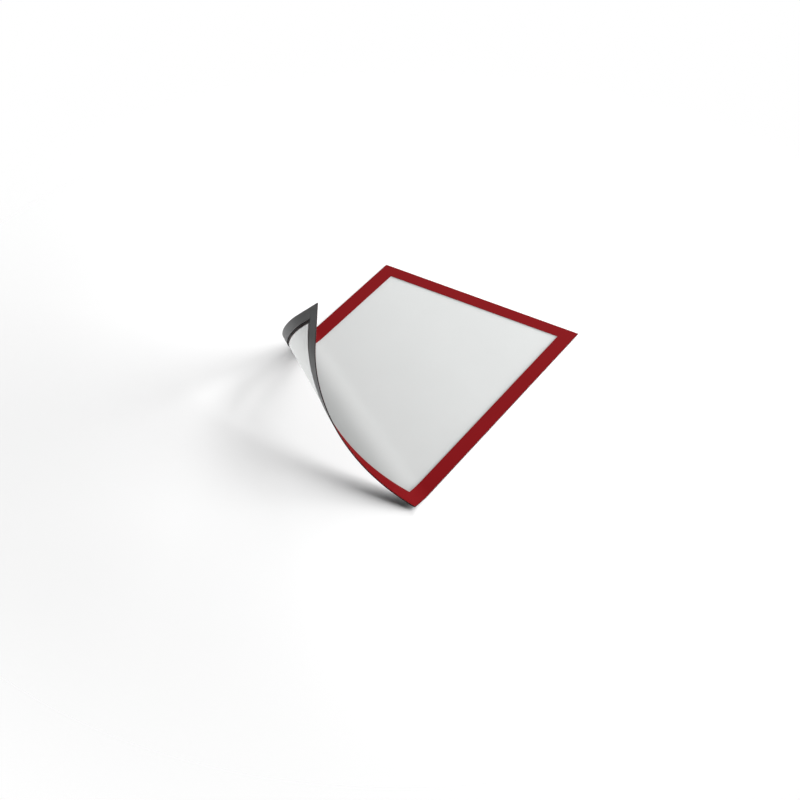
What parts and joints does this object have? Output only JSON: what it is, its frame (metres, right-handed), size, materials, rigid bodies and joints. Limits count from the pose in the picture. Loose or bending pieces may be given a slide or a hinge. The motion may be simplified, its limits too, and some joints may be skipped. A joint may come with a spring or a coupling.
{
  "type": "magnetic display frame",
  "caption": "Thin flexible magnetic display frame with a red border and a window for an A4 sheet, one corner peeled back and rolled over.",
  "frame": {"origin": "middle of the frame's outline, in the plane of the magnetic strips' back faces", "axes": "+X along the short edges to the right, +Y along the long edges to the top edge, +Z out of the front face; the peeled corner is the lower left one"},
  "size_m": [0.2363, 0.323, 0.1163],
  "materials": {
    "border_foil": "satin deep red foil",
    "window_film": "clear film with an anti-glare front",
    "magnet": "matt dark grey magnetic rubber"
  },
  "bodies": {
    "flat_part": {"border_foil_flat": "border_foil", "window_film_flat": "window_film", "window_film_bend": "window_film", "top_magnet": "magnet", "left_magnet_flat": "magnet", "right_magnet_flat": "magnet"},
    "roll_1": {"border_foil_roll_1": "border_foil", "window_film_roll_1": "window_film", "left_magnet_roll_1": "magnet", "bottom_magnet_roll_1": "magnet", "right_magnet_roll_1": "magnet"},
    "roll_2": {"border_foil_roll_2": "border_foil", "window_film_roll_2": "window_film", "left_magnet_roll_2": "magnet", "bottom_magnet_roll_2": "magnet"},
    "roll_3": {"border_foil_roll_3": "border_foil", "window_film_roll_3": "window_film", "left_magnet_roll_3": "magnet", "bottom_magnet_roll_3": "magnet"},
    "roll_4": {"border_foil_roll_4": "border_foil", "window_film_roll_4": "window_film", "left_magnet_roll_4": "magnet", "bottom_magnet_roll_4": "magnet"},
    "roll_5": {"border_foil_roll_5": "border_foil", "window_film_roll_5": "window_film", "left_magnet_roll_5": "magnet", "bottom_magnet_roll_5": "magnet"},
    "roll_6": {"border_foil_roll_6": "border_foil", "window_film_roll_6": "window_film", "left_magnet_roll_6": "magnet", "bottom_magnet_roll_6": "magnet"},
    "roll_7": {"border_foil_roll_7": "border_foil", "window_film_roll_7": "window_film", "left_magnet_roll_7": "magnet", "bottom_magnet_roll_7": "magnet"},
    "roll_8": {"border_foil_roll_8": "border_foil", "window_film_roll_8": "window_film", "left_magnet_roll_8": "magnet", "bottom_magnet_roll_8": "magnet"},
    "roll_9": {"border_foil_roll_9": "border_foil", "window_film_roll_9": "window_film", "left_magnet_roll_9": "magnet", "bottom_magnet_roll_9": "magnet"},
    "roll_10": {"border_foil_roll_10": "border_foil", "window_film_roll_10": "window_film", "left_magnet_roll_10": "magnet", "bottom_magnet_roll_10": "magnet"}
  },
  "joints": [
    {"name": "corner_peel", "type": "hinge", "parent": "flat_part", "child": "roll_1", "pos_m": [-0.00002, -0.06332, 0.00087], "axis": [0.8249, -0.5653, 0.0004], "range_deg": [0, 11.95]},
    {"name": "roll_bend_2", "type": "hinge", "parent": "roll_1", "child": "roll_2", "pos_m": [-0.00082, -0.07856, 0.00363], "axis": [0.8167, -0.5771, 0.0034], "range_deg": [0, 11.95]},
    {"name": "roll_bend_3", "type": "hinge", "parent": "roll_2", "child": "roll_3", "pos_m": [-0.01325, -0.08458, 0.00896], "axis": [0.8088, -0.588, 0.0094], "range_deg": [0, 11.95]},
    {"name": "roll_bend_4", "type": "hinge", "parent": "roll_3", "child": "roll_4", "pos_m": [-0.02439, -0.08965, 0.0166], "axis": [0.8016, -0.5975, 0.018], "range_deg": [0, 11.95]},
    {"name": "roll_bend_5", "type": "hinge", "parent": "roll_4", "child": "roll_5", "pos_m": [-0.03401, -0.09342, 0.02617], "axis": [0.7955, -0.6053, 0.0289], "range_deg": [0, 11.95]},
    {"name": "roll_bend_6", "type": "hinge", "parent": "roll_5", "child": "roll_6", "pos_m": [-0.04192, -0.09563, 0.03725], "axis": [0.7906, -0.6109, 0.0416], "range_deg": [0, 11.95]},
    {"name": "roll_bend_7", "type": "hinge", "parent": "roll_6", "child": "roll_7", "pos_m": [-0.04798, -0.09609, 0.04935], "axis": [0.7872, -0.6142, 0.0556], "range_deg": [0, 11.95]},
    {"name": "roll_bend_8", "type": "hinge", "parent": "roll_7", "child": "roll_8", "pos_m": [-0.0521, -0.09469, 0.06195], "axis": [0.7855, -0.6149, 0.0702], "range_deg": [0, 11.95]},
    {"name": "roll_bend_9", "type": "hinge", "parent": "roll_8", "child": "roll_9", "pos_m": [-0.05425, -0.09144, 0.0745], "axis": [0.7855, -0.6131, 0.0848], "range_deg": [0, 11.95]},
    {"name": "roll_bend_10", "type": "hinge", "parent": "roll_9", "child": "roll_10", "pos_m": [-0.05444, -0.08641, 0.08649], "axis": [0.7872, -0.6088, 0.0987], "range_deg": [0, 11.95]}
  ],
  "couplings": [
    {"joint": "roll_bend_2", "follows": "corner_peel", "ratio": 1},
    {"joint": "roll_bend_3", "follows": "corner_peel", "ratio": 1},
    {"joint": "roll_bend_4", "follows": "corner_peel", "ratio": 1},
    {"joint": "roll_bend_5", "follows": "corner_peel", "ratio": 1},
    {"joint": "roll_bend_6", "follows": "corner_peel", "ratio": 1},
    {"joint": "roll_bend_7", "follows": "corner_peel", "ratio": 1},
    {"joint": "roll_bend_8", "follows": "corner_peel", "ratio": 1},
    {"joint": "roll_bend_9", "follows": "corner_peel", "ratio": 1},
    {"joint": "roll_bend_10", "follows": "corner_peel", "ratio": 1}
  ]
}
